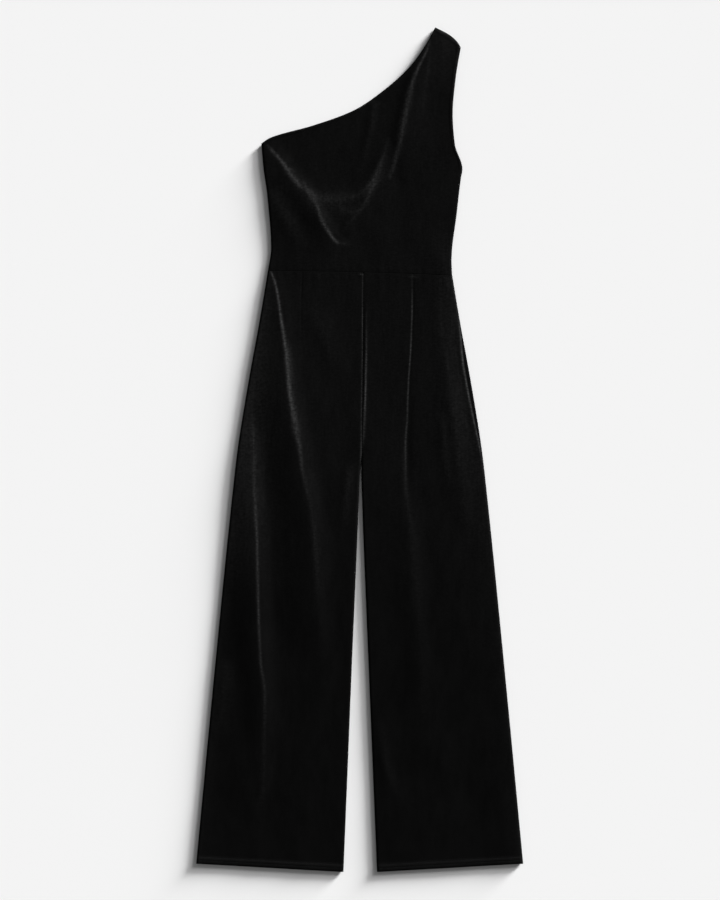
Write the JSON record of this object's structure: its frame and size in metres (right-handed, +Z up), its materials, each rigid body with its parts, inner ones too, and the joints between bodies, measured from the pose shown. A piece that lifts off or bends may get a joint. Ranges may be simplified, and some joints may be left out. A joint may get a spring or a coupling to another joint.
{
  "type": "jumpsuit",
  "caption": "One-shoulder wide-leg jumpsuit in stretch velvet with a waist seam and front darts, laid flat front up.",
  "frame": {"origin": "under the middle of the garment's bounding box, on the surface that it lies on", "axes": "+X towards the wearer's left, +Y from the hems to the shoulder, +Z up out of the front"},
  "size_m": [0.605, 1.562, 0.0134],
  "materials": {
    "velvet": "black stretch velvet, soft pile with a sheen on its folds"
  },
  "bodies": {
    "root": {"bodice_front": "velvet", "bodice_back": "velvet", "leg_front_right": "velvet", "leg_front_left": "velvet", "leg_back_right": "velvet", "leg_back_left": "velvet"}
  },
  "joints": []
}
